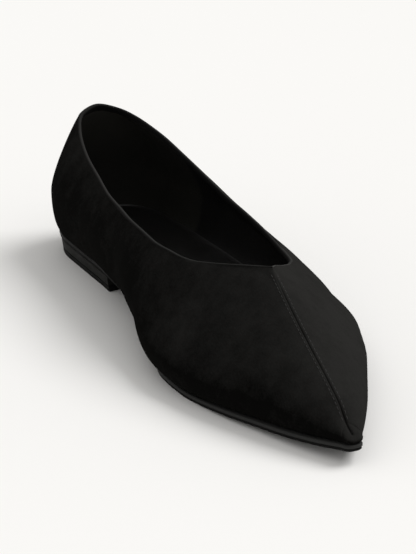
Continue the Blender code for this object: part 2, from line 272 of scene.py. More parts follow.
class FLAT_PG_stage(bpy.types.PropertyGroup):
    """Floor, lights and camera."""

    floor: tint("Floor", "Colour of the floor", (0.93, 0.922, 0.905))
    sky: tint("Sky", "Colour of the light all round", (1.0, 0.995, 0.985))
    sky_strength: bpy.props.FloatProperty(
        name="Sky strength", description="Light from all round", default=0.64, min=0
    )
    key_strength: bpy.props.FloatProperty(
        name="Key strength", description="Soft light from the upper right", default=1.64, min=0
    )
    key_angle: bpy.props.FloatProperty(
        name="Key size",
        description="How wide the key light looks from the shoe",
        default=math.radians(34),
        subtype="ANGLE",
    )
    camera_place: bpy.props.FloatVectorProperty(
        name="Camera", description="Where the camera stands", default=(-0.3344, -0.7527, 0.3429),
        subtype="XYZ", unit="LENGTH",
    )
    aim: bpy.props.FloatVectorProperty(
        name="Aim", description="What the camera looks at", default=(-0.0053, -0.0038, 0.0262),
        subtype="XYZ", unit="LENGTH",
    )
    lens: bpy.props.FloatProperty(
        name="Lens", description="Focal length in millimetres", default=140.0, min=10
    )


def smooth(known, values, at):
    """Monotone cubic through (known, values), read at the places in at."""
    known = np.asarray(known, float)
    values = np.asarray(values, float)
    step = np.diff(known)
    rise = np.diff(values) / step
    before, after = rise[:-1], rise[1:]
    near, far = step[1:] + 2 * step[:-1], 2 * step[1:] + step[:-1]
    turning = before * after <= 0
    weight = far / np.where(turning, 1.0, before) + near / np.where(turning, 1.0, after)
    inner_slope = np.where(turning, 0.0, (near + far) / np.where(turning, 1.0, weight))
    slope = np.concatenate([rise[:1], inner_slope, rise[-1:]])
    at = np.clip(at, known[0], known[-1])
    i = np.clip(np.searchsorted(known, at, side="right") - 1, 0, len(step) - 1)
    t = (at - known[i]) / step[i]
    start = (1 + 2 * t) * (1 - t) ** 2 * values[i] + t * (1 - t) ** 2 * step[i] * slope[i]
    end = t * t * (3 - 2 * t) * values[i + 1] - t * t * (1 - t) * step[i] * slope[i + 1]
    return start + end


def column(table, name):
    return np.array([getattr(row, name) for row in table])


def unit(vectors):
    return vectors / np.maximum(np.linalg.norm(vectors, axis=-1, keepdims=True), 1e-12)


def read_line(at, known, values):
    """Rows of values that are known at some places, read at others."""
    return np.stack([np.interp(at, known, part) for part in values.T], axis=-1)


def distance_run(points):
    """How far it is along a line to each of its points."""
    return np.concatenate([[0], np.cumsum(np.linalg.norm(np.diff(points, axis=0), axis=1))])


def corner_radius(across, along, power):
    """Reach of a rounded end in a direction that is given in shares of its half axes."""
    return (across**power + along**power) ** (-1 / power)


class Last:
    """The form of the shoe, worked out from its sizes."""

    HEEL_SQUARENESS = 2.3
    TOE_SQUARENESS = 2.4
    HEEL_POINTS, SIDE_POINTS, TOE_POINTS = 41, 221, 21
    SEAM_DEGREE = 4
    TOPLINE_STEPS = 12
    SEAM_STEPS = 18
    LOWER_SAMPLES = 18
    UPPER_SAMPLES = 72
    ROWS = 44

    def __init__(self, sizes):
        self.s = sizes
        self.edges = {side: self.trace_edge(side) for side in (OUTER, INNER)}
        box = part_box("outsole")
        _, points, _ = self.edges[OUTER]
        _, other, _ = self.edges[INNER]
        both = np.concatenate([points, other])
        self.shift = np.array(
            [box[0][0] - both[:, 0].min(), box[1][1] + both[:, 1].min(), 0.0]
        )

    def read(self, table, name, along):
        return smooth(column(table, "along"), column(table, name), along)

    def underside(self, y):
        along = y / self.s.length
        heel = self.s.heel_height * self.read(UNDERSIDE, "heel", along)
        return heel + self.s.toe_spring * self.read(UNDERSIDE, "toe", along)

    def sole_top(self, y):
        return self.underside(y) + self.s.sole_thickness

    def half_width(self, side, y):
        name = "outer" if side == OUTER else "inner"
        return self.s.ball_width * self.read(OUTLINE, name, y / self.s.length)

    def trace_edge(self, side):
        """One side of the sole's edge from heel to toe: shares of its length, points, normals."""
        s = self.s
        heel_half = self.half_width(side, s.heel_round)
        points = []
        for turn in np.linspace(0, np.pi / 2, self.HEEL_POINTS):
            across, back = np.sin(turn), np.cos(turn)
            radius = corner_radius(across / heel_half, back / s.heel_round, self.HEEL_SQUARENESS)
            points.append((side * radius * across, s.heel_round - radius * back))
        toe_start = s.length - s.toe_round
        for y in np.linspace(s.heel_round, toe_start, self.SIDE_POINTS)[1:]:
            points.append((side * self.half_width(side, y), y))
        middle = s.ball_width * SEAM[-1].shift
        toe_half = abs(points[-1][0] - middle)
        for turn in np.linspace(0, np.pi / 2, self.TOE_POINTS)[1:]:
            across, ahead = np.cos(turn), np.sin(turn)
            radius = corner_radius(across / toe_half, ahead / s.toe_round, self.TOE_SQUARENESS)
            points.append((middle + side * radius * across, toe_start + radius * ahead))
        points = np.array(points)
        tangent = np.gradient(points, axis=0)
        normal = side * np.column_stack([tangent[:, 1], -tangent[:, 0]])
        normal[0] = (0, -1)
        normal[-1] = (0, 1)
        normal = unit(normal)
        run = distance_run(points)
        return run / run[-1], points, normal

    def edge(self, side, share, inset):
        """Points and outward normals of the sole's edge, moved inwards by inset."""
        shares, points, normals = self.edges[side]
        normal = unit(read_line(share, shares, normals))
        return read_line(share, shares, points) - inset * normal, normal

    def share_at(self, side, y):
        shares, points, _ = self.edges[side]
        return np.interp(y, points[:, 1], shares)

    def seam_line(self):
        row = np.arange(len(SEAM))
        at = np.linspace(0, row[-1], self.SEAM_STEPS * row[-1] + 1)
        foot, along, shift, height = (smooth(row, column(SEAM, name), at) for name in Seam._fields)
        y = self.s.length * along
        z = self.sole_top(y) + self.s.instep_height * height
        line = np.column_stack([self.s.ball_width * shift, y, z])
        share = at / at[-1]
        for k in (0, 2):
            fair = np.polyval(np.polyfit(share, line[:, k], self.SEAM_DEGREE), share)
            ends = (line[0, k] - fair[0]) * (1 - share) ** 3 + (line[-1, k] - fair[-1]) * share**3
            line[:, k] = fair + ends
        return foot, line

    def topline(self):
        throat = Topline(SEAM[0].foot, SEAM[0].along, SEAM[0].shift, SEAM[0].height)
        rows = (throat, *TOPLINE, throat)
        row = np.arange(len(rows))
        at = np.linspace(0, row[-1], self.TOPLINE_STEPS * row[-1] + 1)
        foot, along, reach, height = (
            smooth(row, column(rows, name), at) for name in Topline._fields
        )
        y = self.s.length * along
        front = foot / throat.foot
        full = self.s.topline_height + (self.s.instep_height - self.s.topline_height) * front
        reach = self.s.ball_width * reach
        return foot, np.column_stack([reach, y, self.sole_top(y) + full * height])

    def section(self, side, foot, top):
        """Dense columns of the upper's outer face, from the sole's edge to each point of top."""
        s = self.s
        rim, outward = self.edge(side, foot, 0.0)
        base = rim - s.sole_margin * outward
        sideways = np.column_stack([-outward[:, 1], outward[:, 0]])
        along = rim[:, 1] / s.length
        name = "outer_swell" if side == OUTER else "inner_swell"
        swell = s.swell * self.read(WALLS, name, along)
        belly = s.belly_height * self.read(WALLS, "belly", along)
        shoulder, slope, crown = (
            self.read(WALLS, name, along) for name in ("shoulder", "slope", "crown")
        )
        floor = self.sole_top(base[:, 1]) + s.gap
        widest = floor + belly
        rise = top[:, 2] - widest
        out_top = ((top[:, :2] - base) * outward).sum(axis=1)
        side_top = ((top[:, :2] - base) * sideways).sum(axis=1)
        rows = []
        for turn in np.linspace(0, np.pi / 2, self.LOWER_SAMPLES + 1)[:-1]:
            rows.append((swell * np.sin(turn), floor + belly * (1 - np.cos(turn)), 0 * foot))
        for t in np.linspace(0, 1, self.UPPER_SAMPLES + 1):
            first, second = (1 - t) ** 3, 3 * t * (1 - t) ** 2
            third, fourth = 3 * t * t * (1 - t), t**3
            bend = out_top + slope * (swell - out_top)
            out = (first + second) * swell + third * bend + fourth * out_top
            z = widest + rise * (second * shoulder + third * (1 - crown) + fourth)
            rows.append((out, z, side_top * t))
        made = []
        for out, z, along_edge in rows:
            plan = base + outward * out[:, None] + sideways * along_edge[:, None]
            made.append(np.column_stack([plan, z]))
        return np.array(made)

    def to_world(self, points):
        return points * np.array([1.0, -1.0, 1.0]) + self.shift


def resample(dense, rows, near):
    """Rows of each column at set distances from its top, then evenly down to its foot.

    On a short column the close rows draw together and take up a third of it.
    """
    steps = np.linalg.norm(np.diff(dense, axis=0), axis=2)
    run = np.concatenate([np.zeros((1, dense.shape[1])), np.cumsum(steps, axis=0)])
    made = np.empty((rows, dense.shape[1], 3))
    for c in range(dense.shape[1]):
        total = run[-1, c]
        close = near * min(1.0, total / (3 * near[-1]))
        even = np.linspace(close[-1], total, rows - len(close) + 1)[1:]
        at = (total - np.concatenate([close, even]))[::-1]
        made[:, c] = read_line(at, run[:, c], dense[:, c])
    return made


class Upper:
    """The upper's outer face as one welded grid, with normals, and the topline's own frame."""

    # Distances of the closest rows from the top edge
    NEAR_TOP = np.array([0.0, 0.2, 0.4, 0.6, 0.85, 1.1, 1.5, 2.0, 2.7, 3.5, 4.5]) * MM
    # The suede ends this far under the collar fold's edge, and at the seam over some of it
    TRIM = 0.8 * MM
    TRIM_FADE = 4
    # The edge faces out and up by this share; its slope is read over some rows below it
    LEAN = 0.7
    BELOW_EDGE = 4
    # Columns on each side of the throat that are eased, how often, how strongly, and how
    # soon that sets in below the top and above the foot
    EASE_COLUMNS = 34
    EASE_PASSES = 90
    EASE_PULL, EASE_TOP, EASE_FOOT = 0.8, 9, 8
    # How often the topline's directions are evened out
    FRAME_PASSES = 12
    # Groove and lips of the seam, in shares of its half width and depth
    GROOVE_SHARE, LIP_SHARE, LIP_HEIGHT = 0.36, 0.7, 0.12
    # The ridge beside a crease: its height and distance in shares of the trough's
    RIDGE_HEIGHT, RIDGE_PLACE = 0.35, 1.8
    # The ends of a seam or crease fade out
    SEAM_ENDS, CREASE_ENDS = (0.02, 0.985), (0.08, 0.92)
    SAME_POINT = 1e-6
    CHUNK = 2000

    def __init__(self, last):
        self.last = last
        top_foot, top = last.topline()
        seam_foot, seam = last.seam_line()
        back = len(top_foot) // 2
        trimmed = top - self.TRIM * self.rim_frame(top_foot, top, back)
        seam = seam.copy()
        away = np.linalg.norm(seam - seam[0], axis=1)
        fade = np.exp(-((away / (self.TRIM_FADE * self.TRIM)) ** 2))
        seam += (trimmed[0] - top[0]) * fade[:, None]
        halves = []
        for side, here in ((INNER, slice(back, None, -1)), (OUTER, slice(back, None))):
            foot = np.concatenate([top_foot[here], seam_foot[1:]])
            ends = np.concatenate([trimmed[here], seam[1:]])
            dense = last.section(side, foot, ends)
            halves.append(resample(dense, last.ROWS, self.NEAR_TOP))
        inner, outer = halves
        grid = np.concatenate([inner[:, ::-1], outer[:, 1:]], axis=1)
        self.ease_throat(grid, len(seam_foot) - 1)
        self.foot = np.concatenate([foot[::-1], foot[1:]])
        self.half_columns = len(foot)
        self.seam_columns = len(seam_foot) - 1
        self.seam = seam
        self.rows, self.columns = grid.shape[:2]
        flat = grid.reshape(-1, 3)
        _, first, index = np.unique(
            np.round(flat / self.SAME_POINT), axis=0, return_index=True, return_inverse=True
        )
        self.index = index.reshape(self.rows, self.columns)
        self.points = last.to_world(flat[first])
        self.side = np.where(flat[first][:, 0] >= self.seam_x(flat[first][:, 1]), OUTER, INNER)
        self.points = self.points + self.normals(self.points) * self.relief()[:, None]
        self.normal = self.normals(self.points)

    def ease_throat(self, grid, seam_columns):
        """Rounds the wall where the columns turn from the topline to the seam."""
        places = np.arange(grid.shape[1])
        gap = np.minimum(abs(places - seam_columns), abs(places[::-1] - seam_columns))
        beside = np.exp(-((gap / self.EASE_COLUMNS) ** 2))[1:-1]
        below = np.linspace(1, 0, grid.shape[0])
        low = np.clip(below * self.EASE_TOP, 0, 1)
        low = low * np.clip((1 - below) * self.EASE_FOOT, 0, 1)
        weight = (self.EASE_PULL * low[:, None] * beside[None])[..., None]
        for _ in range(self.EASE_PASSES):
            middle = (grid[:, :-2] + grid[:, 2:]) / 2
            grid[:, 1:-1] += weight * (middle - grid[:, 1:-1])

    def seam_x(self, y):
        return np.interp(y, self.seam[:, 1], self.seam[:, 0], left=0.0)

    def rim_frame(self, top_foot, top, back):
        """Sets the topline's points and directions, and returns the one up off its edge."""
        last = self.last
        closed = np.concatenate([top[-2:-1], top, top[1:2]])
        along = unit(closed[2:] - closed[:-2])
        down = np.empty_like(top)
        facing = np.full_like(top, self.LEAN)
        for side, here in ((INNER, slice(0, back + 1)), (OUTER, slice(back, None))):
            dense = last.section(side, top_foot[here], top[here])
            down[here] = unit(dense[-self.BELOW_EDGE] - dense[-1])
            facing[here, :2] = last.edge(side, top_foot[here], 0.0)[1]
        out = unit(np.cross(along, down))
        out *= np.sign((out * facing).sum(axis=1))[:, None]
        up = unit(np.cross(out, along))
        up *= np.sign(-(up * down).sum(axis=1))[:, None]
        out[0] = out[-1] = unit(out[1] + out[-2])
        up[0] = up[-1] = unit(up[1] + up[-2])
        for _ in range(self.FRAME_PASSES):
            for frame_part in (out, up):
                ring = frame_part[:-1]
                mean = (np.roll(ring, 1, axis=0) + ring + np.roll(ring, -1, axis=0)) / 3
                frame_part[:-1] = unit(mean)
                frame_part[-1] = frame_part[0]
        self.rim = last.to_world(top)
        mirror = np.array([1.0, -1.0, 1.0])
        self.rim_out, self.rim_up = out * mirror, up * mirror
        return up

    def quads(self):
        """Faces of the grid as welded indices, without corners that fell together."""
        made = []
        index = self.index
        for r in range(self.rows - 1):
            for c in range(self.columns - 1):
                quad = [index[r, c], index[r, c + 1], index[r + 1, c + 1], index[r + 1, c]]
                quad = [q for k, q in enumerate(quad) if q != quad[k - 1]]
                if len(quad) > 2:
                    made.append(quad)
        return made

    def normals(self, points):
        total = np.zeros_like(points)
        quads = np.array([q for q in self.quads() if len(q) == 4])
        a, b, c, d = (points[quads[:, k]] for k in range(4))
        face = np.cross(d - b, c - a)
        for k in range(4):
            np.add.at(total, quads[:, k], face)
        return unit(total)

    def relief(self):
        """Height of the seam's groove and of the creases, out from the smooth form."""
        last = self.last
        s = last.s
        flat = (self.points - last.shift) * np.array([1.0, -1.0, 1.0])
        seam = self.seam
        distance = np.full(len(flat), 1.0)
        place = np.zeros(len(flat))
        near = np.where(flat[:, 1] > seam[0, 1] - 5 * MM)[0]
        for start in range(0, len(near), self.CHUNK):
            part = near[start : start + self.CHUNK]
            gaps = np.linalg.norm(flat[part][:, None] - seam[None], axis=2)
            best = gaps.argmin(axis=1)
            distance[part] = gaps[np.arange(len(part)), best]
            place[part] = best / (len(seam) - 1)
        fade = np.clip(np.sin(np.pi * np.clip(place, *self.SEAM_ENDS)), 0, 1) ** 0.3
        width = s.seam_width / 2
        groove = -s.seam_depth * np.exp(-((distance / (self.GROOVE_SHARE * width)) ** 2))
        lips = np.exp(-(((distance - width) / (self.LIP_SHARE * width)) ** 2))
        lips *= self.LIP_HEIGHT * s.seam_depth
        height = (groove + lips) * fade
        across = (flat[:, 2] - last.sole_top(flat[:, 1])) / s.instep_height
        place = np.column_stack([flat[:, 1] / s.length, across])
        scale = np.array([s.length, s.instep_height])
        for crease in CREASES:
            start = np.array([crease.along_from, crease.up_from]) * scale
            end = np.array([crease.along_to, crease.up_to]) * scale
            way = end - start
            offset = place * scale - start
            t = np.clip(offset @ way / (way @ way), 0, 1)
            gap = np.linalg.norm(offset - t[:, None] * way, axis=1)
            taper = np.sin(np.pi * np.clip(t, *self.CREASE_ENDS)) ** 0.7
            trough = np.exp(-((gap / crease.width) ** 2))
            beyond = gap - self.RIDGE_PLACE * crease.width
            ridge = np.exp(-((beyond / crease.width) ** 2))
            share = (trough - self.RIDGE_HEIGHT * ridge) * taper * (self.side == crease.side)
            height = height - crease.depth * share
        return height

    def deep(self, depth):
        return self.points - self.normal * depth


def to_object(name, points, faces, material):
    """A welded, smoothly shaded mesh object with its faces turned outwards."""
    data = bpy.data.meshes.new(name)
    data.from_pydata([tuple(p) for p in points], [], [tuple(int(i) for i in f) for f in faces])
    mesh = bmesh.new()
    mesh.from_mesh(data)
    bmesh.ops.remove_doubles(mesh, verts=mesh.verts, dist=WELD)
    bmesh.ops.dissolve_degenerate(mesh, edges=mesh.edges, dist=0.1 * WELD)
    loose = [v for v in mesh.verts if not v.link_faces]
    bmesh.ops.delete(mesh, geom=loose, context="VERTS")
    bmesh.ops.recalc_face_normals(mesh, faces=mesh.faces)
    mesh.to_mesh(data)
    mesh.free()
    data.shade_smooth()
    data.set_sharp_from_angle(angle=math.radians(SHARP_ANGLE))
    data.materials.append(material)
    made = bpy.data.objects.new(name, data)
    bpy.context.scene.collection.objects.link(made)
    return made


def dress(piece, slot, *nodes):
    """Lets the piece ride with the shoe and hides the solids it stands for. The slot is not used.
    """
    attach(piece, BODY)
    if nodes:
        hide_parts(*nodes)
    return piece


def ring_faces(rings, count, first=0, closed=False):
    """Faces between rings of count points that follow each other."""
    faces = []
    for r in range(rings if closed else rings - 1):
        here, ahead = first + r * count, first + (r + 1) % rings * count
        for i in range(count):
            j = (i + 1) % count
            faces.append((here + i, here + j, ahead + j, ahead + i))
    return faces


def thick_sheet(name, outside, inside, quads, material):
    """A closed sheet between two sets of points with the same quads."""
    count = len(outside)
    faces = [list(q) for q in quads]
    faces += [[i + count for i in reversed(q)] for q in quads]
    used = {}
    for q in quads:
        for k in range(len(q)):
            used[q[k], q[(k + 1) % len(q)]] = True
    for a, b in used:
        if (b, a) not in used:
            faces.append([b, a, a + count, b + count])
    return to_object(name, np.concatenate([outside, inside]), faces, material)


# ---- finishes ----


class Finish:
    """A Principled material with a few helpers for its nodes."""

    # Numbers of the mix node's sockets for colours
    COLOUR_A, COLOUR_B, COLOUR_RESULT = 6, 7, 2

    def __init__(self, name, roughness, specular=0.5):
        self.material = bpy.data.materials.new(name)
        self.material.use_nodes = True
        self.tree = self.material.node_tree
        self.shader = self.tree.nodes["Principled BSDF"]
        self.shader.inputs["Roughness"].default_value = roughness
        self.shader.inputs["Specular IOR Level"].default_value = specular
        self.coordinates = self.node("ShaderNodeTexCoord")
        self.place = self.coordinates.outputs["Object"]

    def node(self, kind, values=None, **settings):
        """A node with these settings, its inputs set or linked by their name or number."""
        made = self.tree.nodes.new(kind)
        for name, value in settings.items():
            setattr(made, name, value)
        for key, value in (values or {}).items():
            if isinstance(value, bpy.types.NodeSocket):
                self.tree.links.new(value, made.inputs[key])
            else:
                made.inputs[key].default_value = value
        return made

    def link(self, out, name):
        self.tree.links.new(out, self.shader.inputs[name])

    def noise(self, scale, detail=3.0, rough=0.55, stretch=None):
        source = self.place
        if stretch:
            mapping = self.node("ShaderNodeMapping", {"Scale": stretch, "Vector": source})
            source = mapping.outputs["Vector"]
        values = {"Scale": scale, "Detail": detail, "Roughness": rough, "Vector": source}
        return self.node("ShaderNodeTexNoise", values).outputs["Fac"]

    def remap(self, value, low, high, to_low=0.0, to_high=1.0):
        values = {"Value": value, "From Min": low, "From Max": high}
        values.update({"To Min": to_low, "To Max": to_high})
        return self.node("ShaderNodeMapRange", values).outputs["Result"]

    def math(self, operation, first, second):
        made = self.node("ShaderNodeMath", {0: first, 1: second}, operation=operation)
        return made.outputs["Value"]

    def mix(self, factor, first, second):
        values = {0: factor}
        for key, value in ((self.COLOUR_A, first), (self.COLOUR_B, second)):
            is_socket = isinstance(value, bpy.types.NodeSocket)
            values[key] = value if is_socket else (*value, 1.0)
        made = self.node("ShaderNodeMix", values, data_type="RGBA")
        return made.outputs[self.COLOUR_RESULT]

    def bump(self, height, strength, distance, under=None):
        values = {"Strength": strength, "Distance": distance, "Height": height}
        if under is not None:
            values["Normal"] = under
        return self.node("ShaderNodeBump", values).outputs["Normal"]

    def shades(self, factor, colour, low, high):
        """The colour from low to high times its strength."""
        dark, light = (tuple(share * part for part in colour) for share in (low, high))
        return self.mix(factor, dark, light)

    def colour(self, out):
        self.link(out, "Base Color")

    def roughen(self, value, low, high, to_low, to_high):
        self.link(self.remap(value, low, high, to_low, to_high), "Roughness")

    def emboss(self, height, strength, distance, under=None):
        self.link(self.bump(height, strength, distance, under), "Normal")

    def sheen(self, weight, roughness, tint):
        self.shader.inputs["Sheen Weight"].default_value = weight
        self.shader.inputs["Sheen Roughness"].default_value = roughness
        self.shader.inputs["Sheen Tint"].default_value = (*tint, 1.0)


def painted_light_by_facing(made, direction, low, high, most):
    """How far the surface faces the direction, from 0 up to most: light painted on by facing."""
    values = {0: made.coordinates.outputs["Normal"], 1: Vector(direction).normalized()}
    facing = made.node("ShaderNodeVectorMath", values, operation="DOT_PRODUCT")
    return made.remap(facing.outputs["Value"], low, high, 0.0, most)


def towards_heel(made, start, end):
    """0 in front of start and 1 behind end, along the shoe."""
    split = made.node("ShaderNodeSeparateXYZ", {"Vector": made.place})
    return made.remap(split.outputs["Y"], start, end)


def make_suede(finish):
    """Black suede: painted light by facing, cloudy patches of brushed nap, a short fibre grain and
    a faint sheen.
    """
    made = Finish("black_suede_nap", 1.0, 0.0)
    # Painted highlight where the suede faces the key light, painted shade where it faces away
    painted_light = painted_light_by_facing(made, SUEDE_LIT_FACING, -0.16, 0.95, 0.90)
    clouds = made.remap(made.noise(34, 4.0, 0.6), 0.34, 0.68, -0.12, 0.12)
    patches = made.remap(made.noise(190, 3.0, 0.6), 0.30, 0.72, -0.12, 0.12)
    grain = made.noise(2300, 2.0, 0.6, (1.0, 0.35, 0.6))
    fleck = made.remap(grain, 0.25, 0.80, -0.12, 0.14)
    tone = made.math("ADD", made.math("ADD", painted_light, clouds), made.math("ADD", patches, fleck))
    made.colour(made.mix(tone, finish.suede, finish.suede_lit_and_brushed))
    made.roughen(tone, 0.0, 1.0, 1.0, 0.90)
    soft = made.bump(made.noise(420, 3.0, 0.6), 0.25, 0.0002)
    made.emboss(grain, 0.55, 0.00016, soft)
    made.sheen(0.012, 0.5, finish.suede_sheen)
    return made.material


def make_fold_finish(finish):
    """The same suede, stretched along the folded edge, with a painted highlight where the edge
    faces the key light.
    """
    made = Finish("black_suede_fold", 0.95, 0.05)
    # Painted highlight on the fold where it faces the key light
    painted_light = painted_light_by_facing(made, FOLD_LIT_FACING, 0.15, 1.0, 1.0)
    grain = made.noise(1900, 2.0, 0.6)
    tone = made.math("ADD", painted_light, made.remap(grain, 0.25, 0.80, -0.15, 0.15))
    made.colour(made.mix(tone, finish.suede, finish.highlit_fold))
    made.roughen(grain, 0.3, 0.7, 0.90, 1.0)
    made.emboss(grain, 0.4, 0.0001)
    made.sheen(0.02, 0.5, finish.suede_sheen)
    return made.material


def make_lining(finish):
    """Thin black lining leather with a fine pebble, lighter round the back of the heel."""
    made = Finish("black_lining_leather", 0.70, 0.12)
    pebble = made.noise(1400, 2.0, 0.5)
    cloud = made.remap(made.noise(60, 3.0), 0.3, 0.7)
    leather = made.shades(cloud, finish.lining, 1.0, 1.7)
    # Lighter and warmer behind this line at the back of the heel
    rear = towards_heel(made, REAR_LINING_FROM, REAR_LINING_TO)
    rear_lining = made.shades(cloud, finish.rear_lining, 0.8, 1.0)
    made.colour(made.mix(rear, leather, rear_lining))
    made.roughen(pebble, 0.3, 0.7, 0.55, 0.72)
    made.emboss(pebble, 0.35, 0.00008)
    return made.material


def make_sock(finish):
    """Satin sock leather: fine grain under a thin dressing."""
    made = Finish("black_sock_satin", 0.42, 0.45)
    grain = made.noise(1700, 2.0, 0.5, (1.0, 0.7, 1.0))
    cloud = made.remap(made.noise(45, 3.0), 0.3, 0.7)
    made.colour(made.shades(cloud, finish.sock, 1.0, 1.6))
    made.roughen(cloud, 0.0, 1.0, 0.36, 0.50)
    made.emboss(grain, 0.30, 0.00006)
    return made.material


def make_thread(finish):
    """Twisted black thread."""
    made = Finish("black_sewing_thread", 0.7, 0.3)
    twist = made.noise(5200, 2.0, 0.5)
    made.colour(made.shades(twist, finish.thread, 1.0, 1.8))
    made.emboss(twist, 0.3, 0.00005)
    return made.material


def make_sole_finish(finish):
    """Dressed sole edge with a painted highlight from the ball to the toe, dark at waist and heel.
    """
    made = Finish("dark_sole_dressing", 0.55, 0.12)
    # Painted highlight on the edge from the ball to the toe, dark behind
    rear = towards_heel(made, EDGE_HIGHLIGHT_FROM, EDGE_HIGHLIGHT_TO)
    cloud = made.noise(120, 3.0, 0.6)
    edge_highlight = made.shades(cloud, finish.sole_edge_highlight, 0.8, 1.0)
    dark = made.shades(cloud, finish.sole_under, 0.4, 1.0)
    made.colour(made.mix(rear, edge_highlight, dark))
    made.roughen(cloud, 0.3, 0.7, 0.50, 0.66)
    made.emboss(made.noise(1500, 3.0, 0.6), 0.35, 0.0001)
    return made.material


def make_tread_finish(finish):
    """Dull dark tread layer of the sole with a fine moulded speckle."""
    made = Finish("dark_tread", 0.75, 0.08)
    speck = made.remap(made.noise(900, 3.0, 0.6), 0.35, 0.7)
    made.colour(made.shades(speck, finish.sole_under, 0.7, 1.0))
    made.roughen(speck, 0.0, 1.0, 0.68, 0.82)
    made.emboss(speck, 0.35, 0.0001)
    return made.material


def make_heel_finish(finish):
    """Dark stained stack: thin layers, each a little different in tone."""
    made = Finish("dark_heel_layers", 0.6, 0.12)
    layers = made.noise(900, 2.0, 0.6, (0.02, 0.02, 1.0))
    cloud = made.noise(150, 3.0, 0.6)
    tone = made.math("MULTIPLY", made.remap(layers, 0.35, 0.65), cloud)
    made.colour(made.shades(tone, finish.heel, 1.0, 1.5))
    made.roughen(cloud, 0.3, 0.7, 0.54, 0.70)
    fine = made.bump(made.noise(1800, 2.0, 0.6), 0.25, 0.00008)
    made.emboss(layers, 0.2, 0.0001, fine)
    return made.material


def make_lift_finish(finish):
    """Matt black rubber with a fine moulded grain."""
    made = Finish("black_lift_rubber", 0.78, 0.1)
    grain = made.noise(1300, 3.0, 0.6)
    made.colour(made.shades(grain, finish.lift, 1.0, 1.6))
    made.roughen(grain, 0.3, 0.7, 0.64, 0.80)
    made.emboss(grain, 0.4, 0.0001)
    return made.material


def make_floor_finish(stage):
    """Pale studio floor with the faintest mottle."""
    made = Finish("pale_studio_floor", 1.0, 0.0)
    cloud = made.noise(3, 2.0)
    made.colour(made.shades(cloud, stage.floor, 0.985, 1.0))
    return made.material


def get_upper(context):
    """The upper's grid for the sizes that are set now."""
    return Upper(Last(context.scene.flat_last))


# ---- pieces ----


class FLAT_OT_upper(bpy.types.Operator):
    """Suede shell of the upper with its seam groove and soft creases"""

    bl_idname = "flat.upper"
    bl_label = "Suede upper"

    def execute(self, context):
        upper = get_upper(context)
        depth = context.scene.flat_last.suede_thickness
        suede = make_suede(context.scene.flat_finish)
        piece = thick_sheet("upper_suede", upper.points, upper.deep(depth), upper.quads(), suede)
        dress(piece, "black_suede", "upper")
        return {"FINISHED"}


class FLAT_OT_lining(bpy.types.Operator):
    """Lining leather inside the upper"""

    bl_idname = "flat.lining"
    bl_label = "Lining"

    # How far it stays clear of the suede, and inside the wall's own thickness
    CLEAR = 0.05 * MM

    def execute(self, context):
        s = context.scene.flat_last
        upper = get_upper(context)
        inside = upper.deep(s.wall - self.CLEAR)
        outside = upper.deep(s.suede_thickness + self.CLEAR)
        leather = make_lining(context.scene.flat_finish)
        piece = thick_sheet("upper_lining", outside, inside, upper.quads(), leather)
        dress(piece, "black_suede", "upper")
        return {"FINISHED"}


class FLAT_OT_collar(bpy.types.Operator):
    """Folded suede edge that runs round the topline"""

    bl_idname = "flat.collar"
    bl_label = "Collar fold"

    # How far the fold stands off the suede and the lining
    PROUD = 0.1 * MM
    ARC_POINTS = 9

    def execute(self, context):
        s = context.scene.flat_last
        upper = get_upper(context)
        inside = self.section(s, self.PROUD - s.fold_thickness)
        loop = self.section(s, self.PROUD) + inside[::-1]
        stations = len(upper.rim) - 1
        points = []
        for k in range(stations):
            for out, up in loop:
                points.append(upper.rim[k] + upper.rim_out[k] * out + upper.rim_up[k] * up)
        faces = ring_faces(stations, len(loop), closed=True)
        highlit_fold = make_fold_finish(context.scene.flat_finish)
        dress(to_object("collar_fold", points, faces, highlit_fold), "black_suede", "upper")
        return {"FINISHED"}

    def section(self, s, proud):
        """Half of the fold's section: up the outside, over the edge and down the lining."""
        radius = s.wall / 2
        reach = radius + proud
        made = [(proud, -s.fold_outside), (proud, -radius)]
        for turn in np.linspace(0, np.pi, self.ARC_POINTS)[1:-1]:
            made.append((-radius + reach * math.cos(turn), -radius + reach * math.sin(turn)))
        return made + [(-s.wall - proud, -radius), (-s.wall - proud, -s.fold_inside)]


